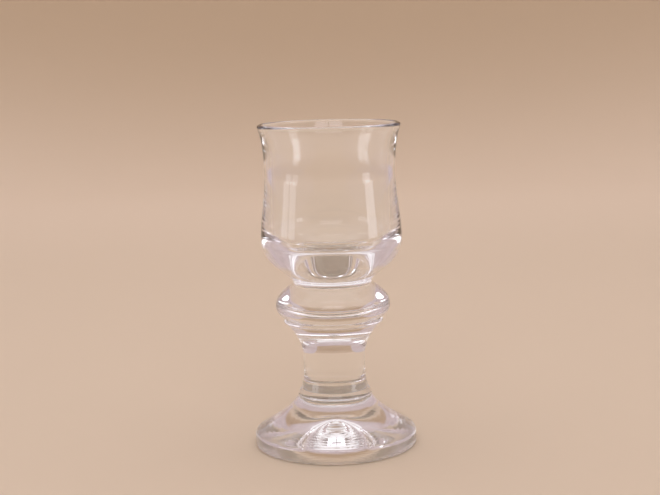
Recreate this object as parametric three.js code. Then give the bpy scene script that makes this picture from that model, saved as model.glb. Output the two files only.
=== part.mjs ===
import * as THREE from "three";

// A small footed schnapps glass of clear, colourless glass, in millimetres.
// +Z is up and is the axis of the glass. The origin is on the table, under the middle of the foot.
// Foot, collar, stem, knop and bowl are turned forms, stacked on level seats where the hot glass is fused.

const HEIGHT = 100;
const FACETS_ROUND = 60;

// Foot: a concave cone with an upright rounded edge, pushed up in the middle from below
const FOOT_RADIUS = 25.2;
const FOOT_EDGE_TOP = 3.4;
const FOOT_SHOULDER_RADIUS = 23;
const FOOT_SHOULDER_Z = 5.8;
const STANDING_RING_OUTER = 24.4;
const STANDING_RING_INNER = 22.6;
const PUSH_UP_Z = 3.81;
const PUSH_UP_FLANK_RADIUS = 9.07;
const PUSH_UP_FLANK_Z = 1.24;

// Collar: the small ring of glass that joins the stem to the foot
const COLLAR_BASE_RADIUS = 11.5;
const COLLAR_BASE_Z = 15.2;
const COLLAR_TOP_RADIUS = 10.45;
const COLLAR_TOP_Z = 17.9;

// Stem: a short thick shank that flares into a head with a rounded ledge
const SHANK_RADIUS = 9.62;
const SHANK_FOOT_Z = 22.6;
const FLARE_START_Z = 28.3;
const LEDGE_RADIUS = 15.3;
const LEDGE_Z = 38.9;
const GROOVE_RADIUS = 14.5;
const GROOVE_Z = 40.2;

// Knop: the swelling between the groove and the neck
const KNOP_LIP_RADIUS = 15.9;
const KNOP_LIP_Z = 40.65;
const KNOP_RADIUS = 17.7;
const KNOP_WIDEST_Z = 44.2;
const NECK_RADIUS = 12.1;
const NECK_Z = 50.9;

// Bowl, outside: round under the belly, drawn in to a waist, opening again to the lip
const BELLY_RADIUS = 21.7;
const BELLY_Z = 65;
const WAIST_RADIUS = 20.05;
const WAIST_Z = 84.3;
const LIP_RADIUS = 21.85;
const LIP_EDGE_Z = 99;
const LIP_CREST_RADIUS = 21.1;

// Bowl, inside: the wall thickens towards a solid bottom
const MOUTH_RADIUS = 20.35;
const INNER_WAIST_RADIUS = 18;
const INNER_WAIST_Z = 86;
const INNER_BELLY_RADIUS = 18.5;
const INNER_BELLY_Z = 68.5;
const FLOOR_EDGE_RADIUS = 15;
const FLOOR_EDGE_Z = 62.2;
const INNER_FLOOR_Z = 56;

// A bend in an outline, between two points given as [radius, height]. The handles are the
// stretches, also as [radius, height], along which the curve sets off and comes in.
function bend(from, settingOff, comingIn, to, steps) {
  const start = new THREE.Vector2(...from);
  const end = new THREE.Vector2(...to);
  const afterStart = start.clone().add(new THREE.Vector2(...settingOff));
  const beforeEnd = end.clone().sub(new THREE.Vector2(...comingIn));
  return new THREE.CubicBezierCurve(start, afterStart, beforeEnd, end).getPoints(steps);
}

function onAxis(z) {
  return [new THREE.Vector2(0, z)];
}

// Each piece has its own glass: colourless, see-through and smooth.
function clearGlass() {
  return new THREE.MeshStandardMaterial({
    color: 0xf2f4f5,
    roughness: 0.04,
    metalness: 0,
    transparent: true,
    opacity: 0.35,
  });
}

// One turned piece. Its outline runs from the axis along the bottom, up the outside and back to the axis.
function turned(name, ...stretches) {
  const points = stretches.flat();
  const outline = points.filter((point, i) => i === 0 || !point.equals(points[i - 1]));
  const geometry = new THREE.LatheGeometry(outline, FACETS_ROUND);
  geometry.rotateX(Math.PI / 2);
  const piece = new THREE.Mesh(geometry, clearGlass());
  piece.name = name;
  return piece;
}

// The foot stands on a narrow flat ring. Above its edge the cone sweeps up to the collar.
function foot() {
  const pushUp = [0, PUSH_UP_Z];
  const pushUpFlank = [PUSH_UP_FLANK_RADIUS, PUSH_UP_FLANK_Z];
  const ringInner = [STANDING_RING_INNER, 0];
  const ringOuter = [STANDING_RING_OUTER, 0];
  const edgeFoot = [FOOT_RADIUS, 1.2];
  const edgeTop = [FOOT_RADIUS, FOOT_EDGE_TOP];
  const shoulder = [FOOT_SHOULDER_RADIUS, FOOT_SHOULDER_Z];
  const coneTop = [COLLAR_BASE_RADIUS, COLLAR_BASE_Z];
  return turned(
    "foot",
    bend(pushUp, [2.59, 0], [4.53, -0.99], pushUpFlank, 8),
    bend(pushUpFlank, [3.01, -0.66], [6.74, -0.21], ringInner, 6),
    bend(ringOuter, [0.6, 0], [0, 0.7], edgeFoot, 3),
    bend(edgeTop, [0, 1.2], [-1, 0.63], shoulder, 4),
    bend(shoulder, [-5.6, 3.5], [-2.8, 4.5], coneTop, 9),
    onAxis(COLLAR_BASE_Z),
  );
}

// The collar bulges slightly, so that it reads as a ring between two creases.
function collar() {
  const base = [COLLAR_BASE_RADIUS, COLLAR_BASE_Z];
  const top = [COLLAR_TOP_RADIUS, COLLAR_TOP_Z];
  return turned(
    "collar",
    onAxis(COLLAR_BASE_Z),
    bend(base, [0, 1.1], [-0.5, 0.7], top, 4),
    onAxis(COLLAR_TOP_Z),
  );
}

// The shank starts a little proud of its waist, and its head flares to a ledge that turns in to the groove.
function stem() {
  const base = [COLLAR_TOP_RADIUS, COLLAR_TOP_Z];
  const shankFoot = [SHANK_RADIUS, SHANK_FOOT_Z];
  const flareStart = [SHANK_RADIUS, FLARE_START_Z];
  const ledge = [LEDGE_RADIUS, LEDGE_Z];
  const groove = [GROOVE_RADIUS, GROOVE_Z];
  return turned(
    "stem",
    onAxis(COLLAR_TOP_Z),
    bend(base, [-0.5, 1.6], [0, 1.9], shankFoot, 4),
    bend(flareStart, [0, 3.6], [2.7, 2], ledge, 9),
    bend(ledge, [0.45, 0.33], [-0.5, 0.3], groove, 4),
    onAxis(GROOVE_Z),
  );
}

// The knop swells out over the groove and rolls in steeply to the neck.
function knop() {
  const groove = [GROOVE_RADIUS, GROOVE_Z];
  const lip = [KNOP_LIP_RADIUS, KNOP_LIP_Z];
  const widest = [KNOP_RADIUS, KNOP_WIDEST_Z];
  const neck = [NECK_RADIUS, NECK_Z];
  return turned(
    "knop",
    onAxis(GROOVE_Z),
    bend(groove, [0.7, 0.05], [0.5, 0.35], lip, 3),
    bend(lip, [1.2, 1.1], [0, 1.7], widest, 5),
    bend(widest, [0, 3.4], [-1.7, 1.45], neck, 9),
    onAxis(NECK_Z),
  );
}

// The bowl: up the outside to the fire-polished lip, then down the inside to the middle of its floor.
function bowl() {
  const neck = [NECK_RADIUS, NECK_Z];
  const belly = [BELLY_RADIUS, BELLY_Z];
  const waist = [WAIST_RADIUS, WAIST_Z];
  const lipEdge = [LIP_RADIUS, LIP_EDGE_Z];
  const lipCrest = [LIP_CREST_RADIUS, HEIGHT];
  const mouth = [MOUTH_RADIUS, LIP_EDGE_Z];
  const innerWaist = [INNER_WAIST_RADIUS, INNER_WAIST_Z];
  const innerBelly = [INNER_BELLY_RADIUS, INNER_BELLY_Z];
  const floorEdge = [FLOOR_EDGE_RADIUS, FLOOR_EDGE_Z];
  const innerFloor = [0, INNER_FLOOR_Z];
  return turned(
    "bowl",
    onAxis(NECK_Z),
    bend(neck, [0, 3.4], [0, 8.7], belly, 10),
    bend(belly, [0, 6.2], [0, 6], waist, 6),
    bend(waist, [0, 6], [1.4, 3.7], lipEdge, 6),
    bend(lipEdge, [0.2, 0.55], [-0.42, 0], lipCrest, 3),
    bend(lipCrest, [-0.42, 0], [-0.2, -0.55], mouth, 3),
    bend(mouth, [-1.3, -3.6], [0, -5], innerWaist, 6),
    bend(innerWaist, [0, -6], [0, -5], innerBelly, 4),
    bend(innerBelly, [0, -3], [-2, -1.5], floorEdge, 4),
    bend(floorEdge, [-2, -1.5], [-7, 0], innerFloor, 7),
  );
}

const glass = new THREE.Group();
glass.name = "schnapps_glass";
glass.add(foot(), collar(), stem(), knop(), bowl());

export default glass;
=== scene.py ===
import math
import bpy
import numpy as np
from mathutils import Matrix, Vector


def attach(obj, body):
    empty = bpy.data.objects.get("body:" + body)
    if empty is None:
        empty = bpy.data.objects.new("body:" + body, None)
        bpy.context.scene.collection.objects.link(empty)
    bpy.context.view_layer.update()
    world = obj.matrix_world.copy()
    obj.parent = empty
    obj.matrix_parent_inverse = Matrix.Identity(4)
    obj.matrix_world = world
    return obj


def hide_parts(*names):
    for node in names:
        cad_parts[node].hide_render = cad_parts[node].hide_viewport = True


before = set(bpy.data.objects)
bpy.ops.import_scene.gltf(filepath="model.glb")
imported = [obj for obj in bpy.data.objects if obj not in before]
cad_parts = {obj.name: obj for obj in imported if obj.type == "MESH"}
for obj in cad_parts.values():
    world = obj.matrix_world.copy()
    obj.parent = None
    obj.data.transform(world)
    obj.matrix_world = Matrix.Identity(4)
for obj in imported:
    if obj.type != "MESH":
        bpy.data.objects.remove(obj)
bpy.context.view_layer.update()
scene = bpy.context.scene

# Camera
# It stands 0.4 m in front of the glass and a little above it, looks down by 8.7 degrees and is
# rolled by 1.4 degrees, as in the photograph. The lens gives 1318 pixels per radian over 660.
CAMERA_PLACE = (-0.0005, -0.4019, 0.123)
LOOKS_DOWN_DEGREES = 8.676
ROLL_DEGREES = 1.42
PIXELS_PER_RADIAN = 1318.1
PICTURE_WIDTH = 660
SENSOR_WIDTH = 36

camera_lens = bpy.data.cameras.new("camera")
camera_lens.sensor_width = SENSOR_WIDTH
camera_lens.lens = PIXELS_PER_RADIAN / PICTURE_WIDTH * SENSOR_WIDTH
camera_lens.clip_start = 0.01
camera_lens.clip_end = 20
camera = bpy.data.objects.new("camera", camera_lens)
scene.collection.objects.link(camera)
looks_down = Matrix.Rotation(math.pi / 2 - math.radians(LOOKS_DOWN_DEGREES), 4, "X")
rolled = Matrix.Rotation(-math.radians(ROLL_DEGREES), 4, "Z")
camera.matrix_world = Matrix.Translation(CAMERA_PLACE) @ looks_down @ rolled
scene.camera = camera

# Foot
# A thick pad of colourless soda glass, pressed while hot into a low hollow cone with an upright
# rounded edge. It stands on a narrow ring, and a pin has pushed its middle up from below.
PUSH_UP = (0, 3.81)  # places on an outline are (radius, height) in millimetres
PUSH_UP_FLANK = (9.07, 1.24)
RING_INNER = (22.6, 0)
RING_OUTER = (24.4, 0)
EDGE_BOTTOM = (25.2, 1.2)
EDGE_TOP = (25.2, 3.4)
SHOULDER = (23, 5.8)
SEAT_OF_COLLAR = (11.5, 15.2)
STEPS_AROUND = 240
CREASE_DEGREES = 25
SODA_GLASS_IOR = 1.52
RING_NOISE_ACROSS = 0.08  # how fast the ring noise changes across the axis, against along it
DULL_PATCHES_PER_METRE = 260


def bend(start, setting_off, coming_in, end, steps):
    """A cubic bend in an outline of (radius, height): it leaves start along the stretch
    setting_off and reaches end along the stretch coming_in. Each point is the sum of the four
    corners, weighted by the cubic Bernstein weights of its share t of the way."""
    t = np.linspace(0, 1, steps + 1)[:, None]
    start, end = np.array(start, float), np.array(end, float)
    near, far = start + setting_off, end - np.array(coming_in, float)
    return ((1 - t) ** 3 * start + 3 * (1 - t) ** 2 * t * near + 3 * (1 - t) * t ** 2 * far
            + t ** 3 * end)


def straight(start, end, steps):
    """A straight stretch of an outline, in equal steps: the share 1 - t of start plus t of end."""
    t = np.linspace(0, 1, steps + 1)[:, None]
    return (1 - t) * np.array(start, float) + t * np.array(end, float)


def on_axis(place):
    """The place on the axis that is level with a place on an outline."""
    return (0, place[1])


def turned(name, stretches, materials, around=STEPS_AROUND):
    """A closed piece turned about the upright axis. The outline is the stretches end to end, in
    millimetres, from the axis round the outside and back to the axis, and each stretch comes with
    the number of its material. A point (r, z) at the angle a goes to (r cos a, r sin a, z). The
    first and last points become single poles, joined to the nearest ring by a fan."""
    outline = [stretches[0][0][:1]]
    finish = []
    for points, material in stretches:
        outline.append(points[1:])
        finish.append(np.full(len(points) - 1, material))
    outline, finish = np.concatenate(outline) / 1000, np.concatenate(finish)
    rings = outline[1:-1]
    angle = np.arange(around) * 2 * math.pi / around
    radius, height = rings[:, :1], rings[:, 1:]
    grid = np.stack([radius * np.cos(angle), radius * np.sin(angle), height + 0 * angle], axis=-1)
    poles = [[0, 0, outline[0, 1]], [0, 0, outline[-1, 1]]]
    corners = np.concatenate([grid.reshape(-1, 3), poles])
    here, after = np.arange(around), (np.arange(around) + 1) % around
    row = np.arange(len(rings) - 1)[:, None] * around
    quads = np.stack([row + here, row + after, row + around + after, row + around + here], axis=-1)
    bottom, top = len(corners) - 2, len(corners) - 1
    last = (len(rings) - 1) * around
    bottom_fan = np.stack([np.full(around, bottom), after, here], axis=-1)
    top_fan = np.stack([np.full(around, top), last + here, last + after], axis=-1)
    faces = bottom_fan.tolist() + quads.reshape(-1, 4).tolist() + top_fan.tolist()
    mesh = bpy.data.meshes.new(name)
    mesh.from_pydata(corners.tolist(), [], faces)
    mesh.polygons.foreach_set("use_smooth", np.ones(len(faces), bool))
    mesh.polygons.foreach_set("material_index", np.repeat(finish, around).astype(np.int32))
    for material in materials:
        mesh.materials.append(material)
    mesh.set_sharp_from_angle(angle=math.radians(CREASE_DEGREES))
    mesh.update()
    piece = bpy.data.objects.new(name, mesh)
    scene.collection.objects.link(piece)
    return piece


def paint(hex_colour):
    """The linear colour, with alpha 1, of an sRGB colour written as six hex digits."""
    shares = [int(hex_colour[i:i + 2], 16) / 255 for i in (0, 2, 4)]
    return [s / 12.92 if s <= 0.04045 else ((s + 0.055) / 1.055) ** 2.4 for s in shares] + [1]


def add_node(material, kind, settings, inputs):
    """Adds one node to a material or world. settings are the node's own properties, and inputs
    gives each socket a value or, where it is another node's output, a link."""
    node = material.node_tree.nodes.new(kind)
    for key, value in settings.items():
        setattr(node, key, value)
    for key, value in inputs.items():
        if isinstance(value, bpy.types.NodeSocket):
            material.node_tree.links.new(value, node.inputs[key])
        else:
            node.inputs[key].default_value = value
    return node


def soda_glass(name, wave_mm, wave_height_mm, ring_mm, ring_height_mm, dullest):
    """Colourless soda-lime glass. wave is the slow unevenness that hot glass keeps, ring is the
    finer unevenness round the axis that turning it against a tool leaves, each with the distance
    from one swell to the next and its height, and dullest is the roughness of its least bright
    patches."""
    glass = bpy.data.materials.new(name)
    glass.use_nodes = True
    glass.node_tree.nodes.clear()
    place = add_node(glass, "ShaderNodeTexCoord", {}, {}).outputs["Object"]
    wave = add_node(glass, "ShaderNodeTexNoise", {},
                    {"Vector": place, "Scale": 1000 / wave_mm, "Detail": 1.0, "Roughness": 0.4})
    squeezed = add_node(glass, "ShaderNodeMapping", {},
                        {"Vector": place, "Scale": (RING_NOISE_ACROSS, RING_NOISE_ACROSS, 1)})
    rings = add_node(glass, "ShaderNodeTexNoise", {},
                     {"Vector": squeezed.outputs["Vector"], "Scale": 1000 / ring_mm,
                      "Detail": 0.0, "Roughness": 0.5})
    swell = add_node(glass, "ShaderNodeBump", {},
                     {"Height": wave.outputs["Fac"], "Distance": wave_height_mm / 1000,
                      "Strength": 1})
    surface = add_node(glass, "ShaderNodeBump", {},
                       {"Height": rings.outputs["Fac"], "Distance": ring_height_mm / 1000,
                        "Strength": 1, "Normal": swell.outputs["Normal"]})
    patches = add_node(glass, "ShaderNodeTexNoise", {},
                       {"Vector": place, "Scale": DULL_PATCHES_PER_METRE, "Detail": 2.0,
                        "Roughness": 0.5})
    polish = add_node(glass, "ShaderNodeMapRange", {},
                      {"Value": patches.outputs["Fac"], "From Min": 0.35, "From Max": 0.7,
                       "To Min": 0.0, "To Max": dullest})
    body = add_node(glass, "ShaderNodeBsdfPrincipled", {},
                    {"Base Color": paint("fdfefe"), "IOR": SODA_GLASS_IOR,
                     "Transmission Weight": 1.0, "Roughness": polish.outputs["Result"],
                     "Normal": surface.outputs["Normal"]})
    add_node(glass, "ShaderNodeOutputMaterial", {}, {"Surface": body.outputs["BSDF"]})
    return glass


# Pressed soda glass: the mould and the reheating leave it bright, with a slow unevenness that
# makes the highlights on the cone waver.
pressed_glass = soda_glass("pressed_soda_glass", 9, 0.03, 2.5, 0.004, 0.03)

# Chilled soda glass: the underside touched cool metal, so that it is rippled in fine rings round
# the middle, and the ring it stands on is dull from sliding on tables. Lengths are in metres, and
# the ring pattern repeats every 0.314 of its own units.
RIPPLE_SPACING = 0.0014
RIPPLE_HEIGHT = 0.000009
RING_PATTERN_REPEAT = 0.314
WORN_UP_TO = (0.00002, 0.0002)
WORN_ROUGHNESS = 0.3

chilled_glass = soda_glass("chilled_soda_glass", 7, 0.03, 2.5, 0.004, 0.04)
chilled_nodes = chilled_glass.node_tree.nodes
chilled_place = chilled_nodes["Texture Coordinate"].outputs["Object"]
ripples = add_node(chilled_glass, "ShaderNodeTexWave",
                   {"wave_type": "RINGS", "rings_direction": "Z"},
                   {"Vector": chilled_place, "Scale": RING_PATTERN_REPEAT / RIPPLE_SPACING,
                    "Distortion": 0.6, "Detail": 1.0, "Detail Scale": 1.0})
rippled = add_node(chilled_glass, "ShaderNodeBump", {},
                   {"Height": ripples.outputs["Fac"], "Distance": RIPPLE_HEIGHT, "Strength": 1,
                    "Normal": chilled_nodes["Bump.001"].outputs["Normal"]})
above_table = add_node(chilled_glass, "ShaderNodeSeparateXYZ", {}, {"Vector": chilled_place})
rubbed = add_node(chilled_glass, "ShaderNodeMapRange", {},
                  {"Value": above_table.outputs["Z"], "From Min": WORN_UP_TO[0],
                   "From Max": WORN_UP_TO[1], "To Min": WORN_ROUGHNESS, "To Max": 0.0})
worn = add_node(chilled_glass, "ShaderNodeMath", {"operation": "ADD"},
                {0: chilled_nodes["Map Range"].outputs["Result"], 1: rubbed.outputs["Result"]})
chilled_body = chilled_nodes["Principled BSDF"]
chilled_glass.node_tree.links.new(rippled.outputs["Normal"], chilled_body.inputs["Normal"])
chilled_glass.node_tree.links.new(worn.outputs["Value"], chilled_body.inputs["Roughness"])

# Fused joint: hot glass stuck to hot glass has no surface left between the two, so that the eye
# looks straight through the level seat where one piece ends and the next begins.
fused_joint = bpy.data.materials.new("fused_joint")
fused_joint.use_nodes = True
fused_joint.node_tree.nodes.clear()
open_seat = add_node(fused_joint, "ShaderNodeBsdfTransparent", {}, {"Color": (1, 1, 1, 1)})
add_node(fused_joint, "ShaderNodeOutputMaterial", {}, {"Surface": open_seat.outputs["BSDF"]})

foot = turned("glass_foot", [
    (bend(PUSH_UP, (2.59, 0), (4.53, -0.99), PUSH_UP_FLANK, 40), 1),
    (bend(PUSH_UP_FLANK, (3.01, -0.66), (6.74, -0.21), RING_INNER, 40), 1),
    (straight(RING_INNER, RING_OUTER, 2), 1),
    (bend(RING_OUTER, (0.6, 0), (0, 0.7), EDGE_BOTTOM, 10), 0),
    (straight(EDGE_BOTTOM, EDGE_TOP, 4), 0),
    (bend(EDGE_TOP, (0, 1.2), (-1, 0.63), SHOULDER, 16), 0),
    (bend(SHOULDER, (-5.6, 3.5), (-2.8, 4.5), SEAT_OF_COLLAR, 48), 0),
    (straight(SEAT_OF_COLLAR, on_axis(SEAT_OF_COLLAR), 3), 2),
], [pressed_glass, chilled_glass, fused_joint])
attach(foot, "root")
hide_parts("foot")

# Collar
# A small ring of hot glass dropped on the foot to take the stem. It is fused to both, so only its
# slightly bulging rim and the crease above and below it show.
SEAT_OF_STEM = (10.45, 17.9)

# Bitted soda glass: a gather that was only touched by the jacks keeps a soft, lively surface.
bitted_glass = soda_glass("bitted_soda_glass", 5, 0.02, 1.5, 0.003, 0.02)

collar = turned("glass_collar", [
    (straight(on_axis(SEAT_OF_COLLAR), SEAT_OF_COLLAR, 3), 1),
    (bend(SEAT_OF_COLLAR, (0, 1.1), (-0.5, 0.7), SEAT_OF_STEM, 16), 0),
    (straight(SEAT_OF_STEM, on_axis(SEAT_OF_STEM), 3), 1),
], [bitted_glass, fused_joint])
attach(collar, "root")
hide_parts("collar")

# Stem
# A short thick shank of solid glass, drawn out hot and turned against the jacks. Its head flares
# to a thin ledge, which turns in to the groove under the knop.
SHANK_FOOT = (9.62, 22.6)
FLARE_START = (9.62, 28.3)
LEDGE = (15.3, 38.9)
SEAT_OF_KNOP = (14.5, 40.2)

# Drawn soda glass: pulling leaves it very bright, with faint rings where the jacks pressed.
drawn_glass = soda_glass("drawn_soda_glass", 8, 0.02, 2.2, 0.006, 0.02)

stem = turned("glass_stem", [
    (straight(on_axis(SEAT_OF_STEM), SEAT_OF_STEM, 3), 1),
    (bend(SEAT_OF_STEM, (-0.5, 1.6), (0, 1.9), SHANK_FOOT, 20), 0),
    (straight(SHANK_FOOT, FLARE_START, 8), 0),
    (bend(FLARE_START, (0, 3.6), (2.7, 2), LEDGE, 48), 0),
    (bend(LEDGE, (0.45, 0.33), (-0.5, 0.3), SEAT_OF_KNOP, 16), 0),
    (straight(SEAT_OF_KNOP, on_axis(SEAT_OF_KNOP), 3), 1),
], [drawn_glass, fused_joint])
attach(stem, "root")
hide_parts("stem")

# Knop
# A round swelling of solid glass, blocked in a wet wooden cup and squeezed in above to the neck.
# It overhangs the groove with an almost flat underside.
KNOP_LIP = (15.9, 40.65)
KNOP_WIDEST = (17.7, 44.2)
SEAT_OF_BOWL = (12.1, 50.9)

# Blocked soda glass: the steam under the wet wood floats the glass, so that it comes out smooth,
# with a slow unevenness in its highlights.
blocked_glass = soda_glass("blocked_soda_glass", 9, 0.03, 3, 0.004, 0.02)

knop = turned("glass_knop", [
    (straight(on_axis(SEAT_OF_KNOP), SEAT_OF_KNOP, 3), 1),
    (bend(SEAT_OF_KNOP, (0.7, 0.05), (0.5, 0.35), KNOP_LIP, 10), 0),
    (bend(KNOP_LIP, (1.2, 1.1), (0, 1.7), KNOP_WIDEST, 20), 0),
    (bend(KNOP_WIDEST, (0, 3.4), (-1.7, 1.45), SEAT_OF_BOWL, 40), 0),
    (straight(SEAT_OF_BOWL, on_axis(SEAT_OF_BOWL), 3), 1),
], [blocked_glass, fused_joint])
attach(knop, "root")
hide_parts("knop")

# Bowl
# Blown soda glass with a thick solid bottom, round under the belly, drawn in to a waist and
# opened again to the mouth, where the flame has rounded the lip.
BELLY = (21.7, 65)
WAIST = (20.05, 84.3)
LIP = (21.85, 99)
LIP_CREST = (21.1, 100)
MOUTH = (20.35, 99)
INNER_WAIST = (18, 86)
INNER_BELLY = (18.5, 68.5)
FLOOR_EDGE = (15, 62.2)
INNER_FLOOR = (0, 56)

# Blown soda glass: the breath and the flame leave the brightest surface on the glass, with long
# slow waves and faint rings from the jacks round the waist.
blown_glass = soda_glass("blown_soda_glass", 12, 0.03, 4, 0.004, 0.015)

bowl = turned("glass_bowl", [
    (straight(on_axis(SEAT_OF_BOWL), SEAT_OF_BOWL, 3), 1),
    (bend(SEAT_OF_BOWL, (0, 3.4), (0, 8.7), BELLY, 60), 0),
    (bend(BELLY, (0, 6.2), (0, 6), WAIST, 30), 0),
    (bend(WAIST, (0, 6), (1.4, 3.7), LIP, 30), 0),
    (bend(LIP, (0.2, 0.55), (-0.42, 0), LIP_CREST, 10), 0),
    (bend(LIP_CREST, (-0.42, 0), (-0.2, -0.55), MOUTH, 10), 0),
    (bend(MOUTH, (-1.3, -3.6), (0, -5), INNER_WAIST, 24), 0),
    (bend(INNER_WAIST, (0, -6), (0, -5), INNER_BELLY, 20), 0),
    (bend(INNER_BELLY, (0, -3), (-2, -1.5), FLOOR_EDGE, 30), 0),
    (bend(FLOOR_EDGE, (-2, -1.5), (-7, 0), INNER_FLOOR, 60), 0),
], [blown_glass, fused_joint])
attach(bowl, "root")
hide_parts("bowl")

# Paper sweep
# The glass stands on a wide sheet of uncoated beige paper, which runs out level and then curves up
# all round into a plain backdrop. It isn't part of the glass, and it lies a tenth of a millimetre
# below the foot, so that the two share no face. Sizes are in metres.
SWEEP_MIDDLE = (0.02, 0)
SWEEP_LEVEL_END = (0.75, 0)
SWEEP_CURVE_END = (1.2, 0.45)
SWEEP_TOP = (1.2, 1.3)
SWEEP_HANDLE = 0.55 * SWEEP_CURVE_END[1]  # bends nearly as a quarter of a circle
SWEEP_AROUND = 96
BELOW_GLASS = 0.0001

sweep_outline = np.concatenate([
    straight(SWEEP_MIDDLE, SWEEP_LEVEL_END, 14),
    bend(SWEEP_LEVEL_END, (SWEEP_HANDLE, 0), (0, SWEEP_HANDLE), SWEEP_CURVE_END, 24)[1:],
    straight(SWEEP_CURVE_END, SWEEP_TOP, 8)[1:],
])
sweep_turns = np.arange(SWEEP_AROUND) * 2 * math.pi / SWEEP_AROUND
sweep_grid = np.stack([sweep_outline[:, :1] * np.cos(sweep_turns),
                       sweep_outline[:, :1] * np.sin(sweep_turns),
                       sweep_outline[:, 1:] + 0 * sweep_turns], axis=-1).reshape(-1, 3)
sweep_corners = np.concatenate([sweep_grid, [[0, 0, 0]]]) - [0, 0, BELOW_GLASS]
sweep_row = np.arange(len(sweep_outline) - 1)[:, None] * SWEEP_AROUND
sweep_next_row = sweep_row + SWEEP_AROUND
sweep_here = np.arange(SWEEP_AROUND)
sweep_after = (sweep_here + 1) % SWEEP_AROUND
sweep_faces = np.stack([sweep_row + sweep_here, sweep_next_row + sweep_here,
                        sweep_next_row + sweep_after, sweep_row + sweep_after], axis=-1)
sweep_middle = np.stack([np.full(SWEEP_AROUND, len(sweep_corners) - 1), sweep_here, sweep_after],
                        axis=-1)
sweep_mesh = bpy.data.meshes.new("paper_sweep")
sweep_mesh.from_pydata(sweep_corners.tolist(), [],
                       sweep_faces.reshape(-1, 4).tolist() + sweep_middle.tolist())
sweep_mesh.polygons.foreach_set("use_smooth", np.ones(len(sweep_mesh.polygons), bool))

# Uncoated paper: dull and even in surface, with a faint mottle a millimetre across, coarser than
# real fibres.
# The sheet is 0.9 m wide and ends under half a metre up. Its colour carries painted light and
# shade:
# palest 0.66 m behind the glass, darker where it curves up. Beside and above it the sweep stands
# for the pale room that the glass mirrors, and in front painted shade stands for the dimmer room
# behind the camera.
SHEET_EDGE = (0.43, 0.47)
SHEET_TOP = (0.43, 0.49)
ALONG_SHEET = (0.3, 1.28)
# Painted light and shade along the sheet: the near tone brightens to the palest tone, then darkens
# to the far tone up the curve.
NEAR_TONE = "ecdbc1"
PALEST_PAINTED_LIGHT_TONE = "f4e3ca"
PALEST_PAINTED_LIGHT_AT = 0.37
FAR_PAINTED_SHADE_TONE = "d1bc9e"
# Painted shade: the sweep behind the camera and above the floor is darkened.
DIM_BEHIND = (-0.75, -1.0)
DIM_ABOVE = (0.08, 0.2)
FIBRES_PER_METRE = 900

paper = bpy.data.materials.new("uncoated_paper")
paper.use_nodes = True
paper.node_tree.nodes.clear()
paper_place = add_node(paper, "ShaderNodeTexCoord", {}, {}).outputs["Object"]
paper_axes = add_node(paper, "ShaderNodeSeparateXYZ", {}, {"Vector": paper_place}).outputs
along_sheet = add_node(paper, "ShaderNodeMath", {"operation": "ADD"},
                       {0: paper_axes["Y"], 1: paper_axes["Z"]})
sheet_share = add_node(paper, "ShaderNodeMapRange", {},
                       {"Value": along_sheet.outputs["Value"],
                        "From Min": ALONG_SHEET[0], "From Max": ALONG_SHEET[1]})
# Painted light and shade: the paper's colour runs from the near tone to its palest 0.66 m behind
# the glass, then darker up the curve.
painted_shading_ramp = add_node(paper, "ShaderNodeValToRGB", {}, {"Fac": sheet_share.outputs["Result"]})
painted_shading_ramp.color_ramp.interpolation = "EASE"
painted_shading_ramp.color_ramp.elements[0].color = paint(NEAR_TONE)
painted_shading_ramp.color_ramp.elements[1].color = paint(FAR_PAINTED_SHADE_TONE)
painted_shading_ramp.color_ramp.elements.new(PALEST_PAINTED_LIGHT_AT).color = paint(PALEST_PAINTED_LIGHT_TONE)
sideways = add_node(paper, "ShaderNodeMath", {"operation": "ABSOLUTE"}, {0: paper_axes["X"]})
beside_sheet = add_node(paper, "ShaderNodeMapRange", {"interpolation_type": "SMOOTHSTEP"},
                        {"Value": sideways.outputs["Value"],
                         "From Min": SHEET_EDGE[0], "From Max": SHEET_EDGE[1]})
above_sheet = add_node(paper, "ShaderNodeMapRange", {"interpolation_type": "SMOOTHSTEP"},
                       {"Value": paper_axes["Z"],
                        "From Min": SHEET_TOP[0], "From Max": SHEET_TOP[1]})
off_sheet = add_node(paper, "ShaderNodeMath", {"operation": "MAXIMUM"},
                     {0: beside_sheet.outputs["Result"], 1: above_sheet.outputs["Result"]})
surroundings = add_node(paper, "ShaderNodeMix", {"data_type": "RGBA"},
                        {"Factor": off_sheet.outputs["Value"],
                         "A": painted_shading_ramp.outputs["Color"], "B": paint("e8dfe0")})
# Painted shade: behind the camera and above the floor, the sweep is mixed towards a darker colour
# for the dimmer room there.
in_front = add_node(paper, "ShaderNodeMapRange", {"interpolation_type": "SMOOTHSTEP"},
                    {"Value": paper_axes["Y"],
                     "From Min": DIM_BEHIND[0], "From Max": DIM_BEHIND[1]})
above_floor = add_node(paper, "ShaderNodeMapRange", {"interpolation_type": "SMOOTHSTEP"},
                       {"Value": paper_axes["Z"],
                        "From Min": DIM_ABOVE[0], "From Max": DIM_ABOVE[1]})
painted_shade_share = add_node(paper, "ShaderNodeMath", {"operation": "MULTIPLY"},
                     {0: in_front.outputs["Result"], 1: above_floor.outputs["Result"]})
everything = add_node(paper, "ShaderNodeMix", {"data_type": "RGBA"},
                      {"Factor": painted_shade_share.outputs["Value"],
                       "A": surroundings.outputs["Result"], "B": paint("b5adaa")})
fibres = add_node(paper, "ShaderNodeTexNoise", {},
                  {"Vector": paper_place, "Scale": FIBRES_PER_METRE, "Detail": 3.0})
fibre_relief = add_node(paper, "ShaderNodeBump", {},
                        {"Height": fibres.outputs["Fac"], "Distance": 0.00002, "Strength": 0.5})
card = add_node(paper, "ShaderNodeBsdfPrincipled", {},
                {"Base Color": everything.outputs["Result"], "Roughness": 0.9,
                 "Specular IOR Level": 0.2, "Normal": fibre_relief.outputs["Normal"]})
add_node(paper, "ShaderNodeOutputMaterial", {}, {"Surface": card.outputs["BSDF"]})
sweep_mesh.materials.append(paper)
sweep = bpy.data.objects.new("paper_sweep", sweep_mesh)
scene.collection.objects.link(sweep)

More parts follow.
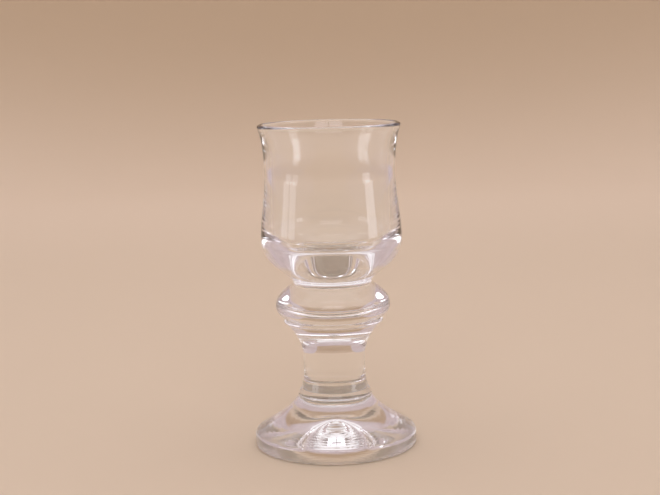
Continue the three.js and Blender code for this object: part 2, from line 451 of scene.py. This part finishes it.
# Studio light
# Low soft boxes stand at the sides, two on the left, and give the upright streaks on the bowl. They
# light the glass alone, so that the paper at their feet isn't burnt out. A window of four panes
# behind the camera shows in the foot, and a pale ceiling does the rest.
BOX_DISTANCE = 0.85
LEFT_BOX_SIZE = (0.18, 0.36)
LEFT_BOX_BRIGHTNESS = 2.3
RIGHT_BOX_SIZE = (0.25, 0.3)
RIGHT_BOX_BRIGHTNESS = 3.2
WINDOW_Y = -0.7
PANE_SIZE = (0.33, 0.22)
PANE_BRIGHTNESS = 1.7
LIGHT_BOUNCES = 24

glass_only = bpy.data.collections.new("glass_only")
for piece in (foot, collar, stem, knop, bowl):
    glass_only.objects.link(piece)


def soft_light(name, place, towards, size, brightness, colour, lights_glass_only=False):
    """A rectangular lamp whose face has the given brightness, where 1 is white: its power is the
    brightness times pi times its area. It may light the glass and nothing else."""
    lamp = bpy.data.lights.new(name, "AREA")
    lamp.shape = "RECTANGLE"
    lamp.size, lamp.size_y = size
    lamp.energy = brightness * math.pi * size[0] * size[1]
    lamp.color = paint(colour)[:3]
    holder = bpy.data.objects.new(name, lamp)
    scene.collection.objects.link(holder)
    if lights_glass_only:
        holder.light_linking.receiver_collection = glass_only
    facing = (Vector(towards) - Vector(place)).to_track_quat("-Z", "Y")
    holder.matrix_world = Matrix.Translation(place) @ facing.to_matrix().to_4x4()


def round_the_glass(distance, degrees, height):
    """A place at a distance from the axis: 0 degrees is the camera's side and 90 the right."""
    turn = math.radians(degrees)
    return (distance * math.sin(turn), -distance * math.cos(turn), height)


soft_light("left_near_soft_box", round_the_glass(BOX_DISTANCE, -67, 0.18), (0, 0, 0.18),
           LEFT_BOX_SIZE, LEFT_BOX_BRIGHTNESS, "f2f6ff", lights_glass_only=True)
soft_light("left_far_soft_box", round_the_glass(BOX_DISTANCE, -81, 0.18), (0, 0, 0.18),
           LEFT_BOX_SIZE, LEFT_BOX_BRIGHTNESS, "f2f6ff", lights_glass_only=True)
soft_light("right_soft_box", round_the_glass(BOX_DISTANCE, 70, 0.15), (0, 0, 0.15),
           RIGHT_BOX_SIZE, RIGHT_BOX_BRIGHTNESS, "f2f6ff", lights_glass_only=True)
for across in (-0.18, 0.18):
    for height in (0.56, 0.81):
        soft_light("window_pane", (across, WINDOW_Y, height), (across, 0, height),
                   PANE_SIZE, PANE_BRIGHTNESS, "f6f2ff")

room = bpy.data.worlds.new("pale_room")
room.use_nodes = True
room.node_tree.nodes["Background"].inputs["Color"].default_value = paint("fff7f9")
room.node_tree.nodes["Background"].inputs["Strength"].default_value = 1.0
scene.world = room

scene.cycles.max_bounces = LIGHT_BOUNCES
scene.cycles.transmission_bounces = LIGHT_BOUNCES
scene.cycles.glossy_bounces = LIGHT_BOUNCES
scene.cycles.transparent_max_bounces = LIGHT_BOUNCES
scene.view_settings.view_transform = "Standard"
